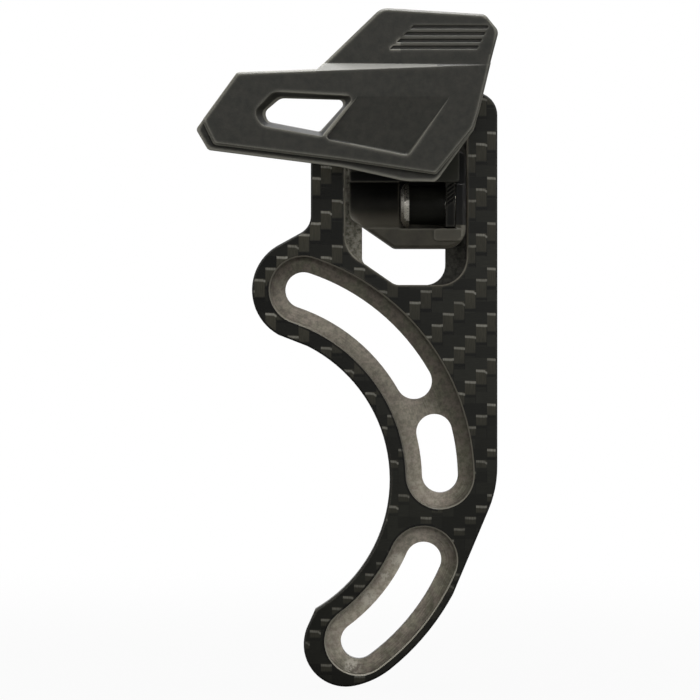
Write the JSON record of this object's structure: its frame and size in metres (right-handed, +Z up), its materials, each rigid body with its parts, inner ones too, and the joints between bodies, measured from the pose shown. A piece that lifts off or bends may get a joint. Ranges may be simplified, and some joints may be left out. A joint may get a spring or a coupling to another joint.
{
  "type": "bicycle chain guide",
  "caption": "Upper chain guide for a single chainring: a slotted carbon plate that bolts to the frame, with a sliding carrier and a cage that keeps the chain on.",
  "frame": {"origin": "on the bottom bracket axis, in the plane where the plate's back meets the frame's tabs", "axes": "+X forward along the bicycle, +Y inboard towards the frame, +Z up"},
  "size_m": [0.054, 0.0256, 0.1221],
  "materials": {
    "carbon": "satin twill carbon laminate, machined in the recesses",
    "black_nylon": "satin moulded nylon",
    "grey_nylon": "matte glass-filled nylon",
    "stainless_steel": "plain",
    "black_aluminium": "black anodised",
    "brass": "plain"
  },
  "bodies": {
    "plate": {"backplate": "carbon"},
    "slider": {"carrier": "black_nylon", "rear_clamp_plate": "stainless_steel", "height_screw_left": "stainless_steel", "height_screw_right": "stainless_steel", "height_insert_left": "brass", "height_insert_right": "brass", "cross_screw": "stainless_steel", "cross_washer": "stainless_steel", "clamp_sleeve": "black_aluminium", "cross_insert": "brass"},
    "guide": {"inner_guide": "grey_nylon", "outer_flap": "grey_nylon", "flap_screw_left": "stainless_steel", "flap_screw_right": "stainless_steel", "flap_insert_left": "brass", "flap_insert_right": "brass"}
  },
  "joints": [
    {"name": "height_slide", "type": "slide", "parent": "plate", "child": "slider", "axis": [0, 0, 1], "range_m": [-0.0058, 0.006]},
    {"name": "chainline_slide", "type": "slide", "parent": "slider", "child": "guide", "axis": [0, -1, 0], "range_m": [-0.0008, 0.0012]}
  ]
}
